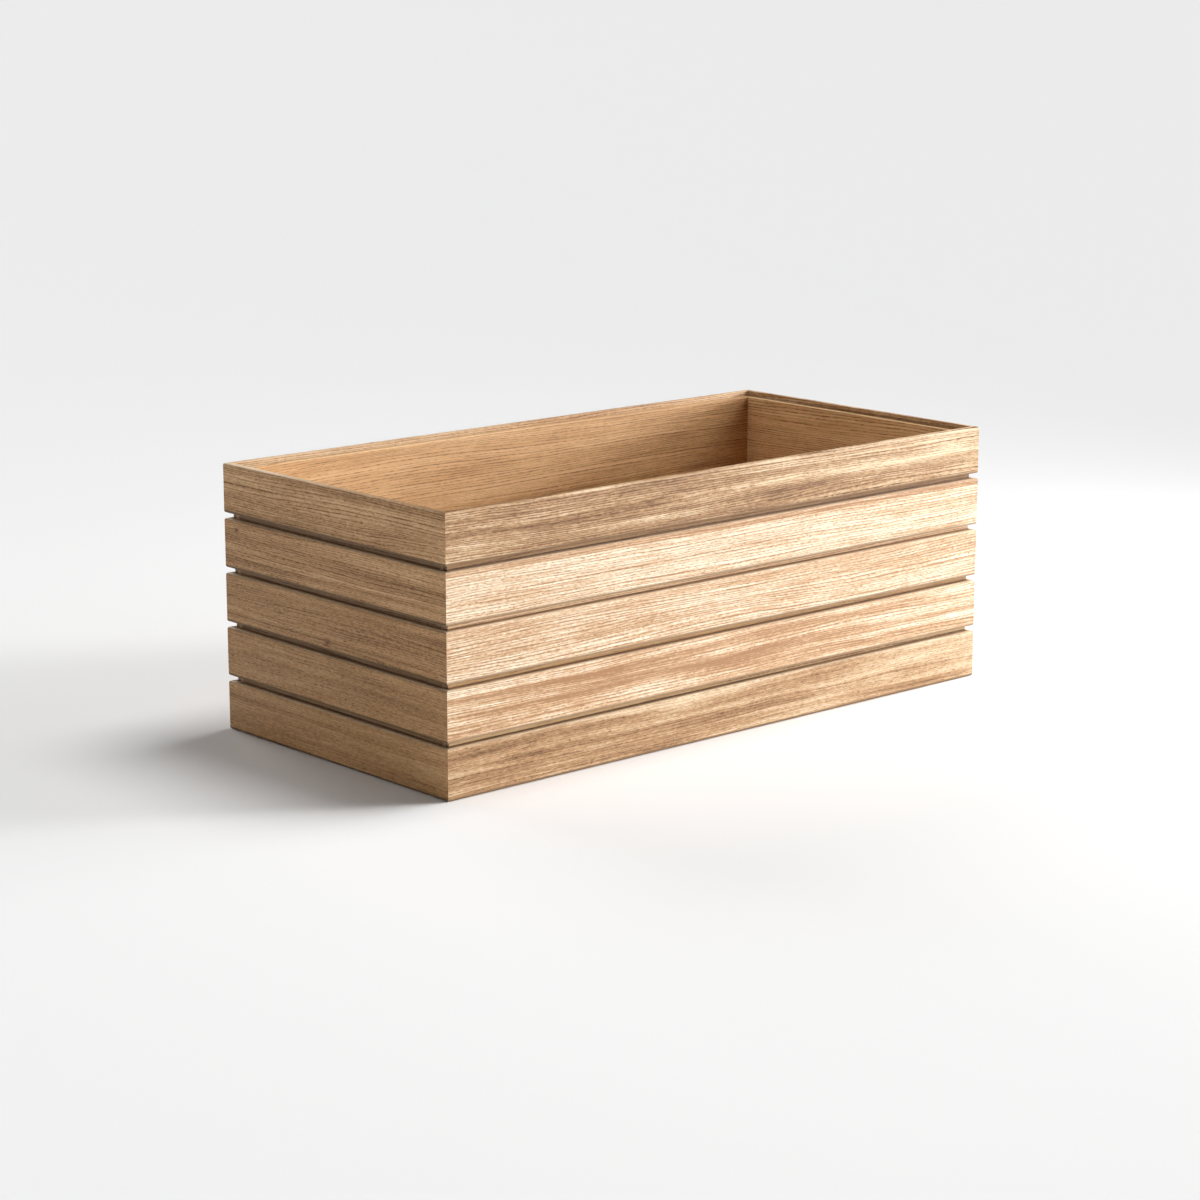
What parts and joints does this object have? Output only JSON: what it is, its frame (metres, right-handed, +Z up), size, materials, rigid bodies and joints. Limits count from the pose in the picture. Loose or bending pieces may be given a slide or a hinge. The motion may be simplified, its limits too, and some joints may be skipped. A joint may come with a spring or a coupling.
{
  "type": "apple crate",
  "caption": "Rectangular open-topped wooden crate with close horizontal slats over smooth inner walls, mitred at the corners, with a board floor on cross bearers.",
  "frame": {"origin": "middle of the base, on the plane that the crate stands on", "axes": "+X along the length, +Y across to the back, +Z up, out of the open top"},
  "size_m": [0.6, 0.29, 0.225],
  "materials": {
    "slat_wood": "planed and clear-oiled, satin",
    "liner_wood": "planed and clear-oiled, satin",
    "floor_wood": "planed, matt",
    "bearer_wood": "sawn, matt",
    "pin_steel": "bright drawn wire"
  },
  "bodies": {
    "root": {"back_liner": "liner_wood", "back_slat_1": "slat_wood", "back_slat_2": "slat_wood", "back_slat_3": "slat_wood", "back_slat_4": "slat_wood", "back_slat_5": "slat_wood", "back_slat_pins": "pin_steel", "bearer_brads": "pin_steel", "corner_brads": "pin_steel", "floor_bearer_left": "bearer_wood", "floor_bearer_middle": "bearer_wood", "floor_bearer_right": "bearer_wood", "floor_board_1": "floor_wood", "floor_board_2": "floor_wood", "floor_board_3": "floor_wood", "floor_board_4": "floor_wood", "floor_brads": "pin_steel", "front_liner": "liner_wood", "front_slat_1": "slat_wood", "front_slat_2": "slat_wood", "front_slat_3": "slat_wood", "front_slat_4": "slat_wood", "front_slat_5": "slat_wood", "front_slat_pins": "pin_steel", "left_liner": "liner_wood", "left_slat_1": "slat_wood", "left_slat_2": "slat_wood", "left_slat_3": "slat_wood", "left_slat_4": "slat_wood", "left_slat_5": "slat_wood", "left_slat_pins": "pin_steel", "right_liner": "liner_wood", "right_slat_1": "slat_wood", "right_slat_2": "slat_wood", "right_slat_3": "slat_wood", "right_slat_4": "slat_wood", "right_slat_5": "slat_wood", "right_slat_pins": "pin_steel"}
  },
  "joints": []
}
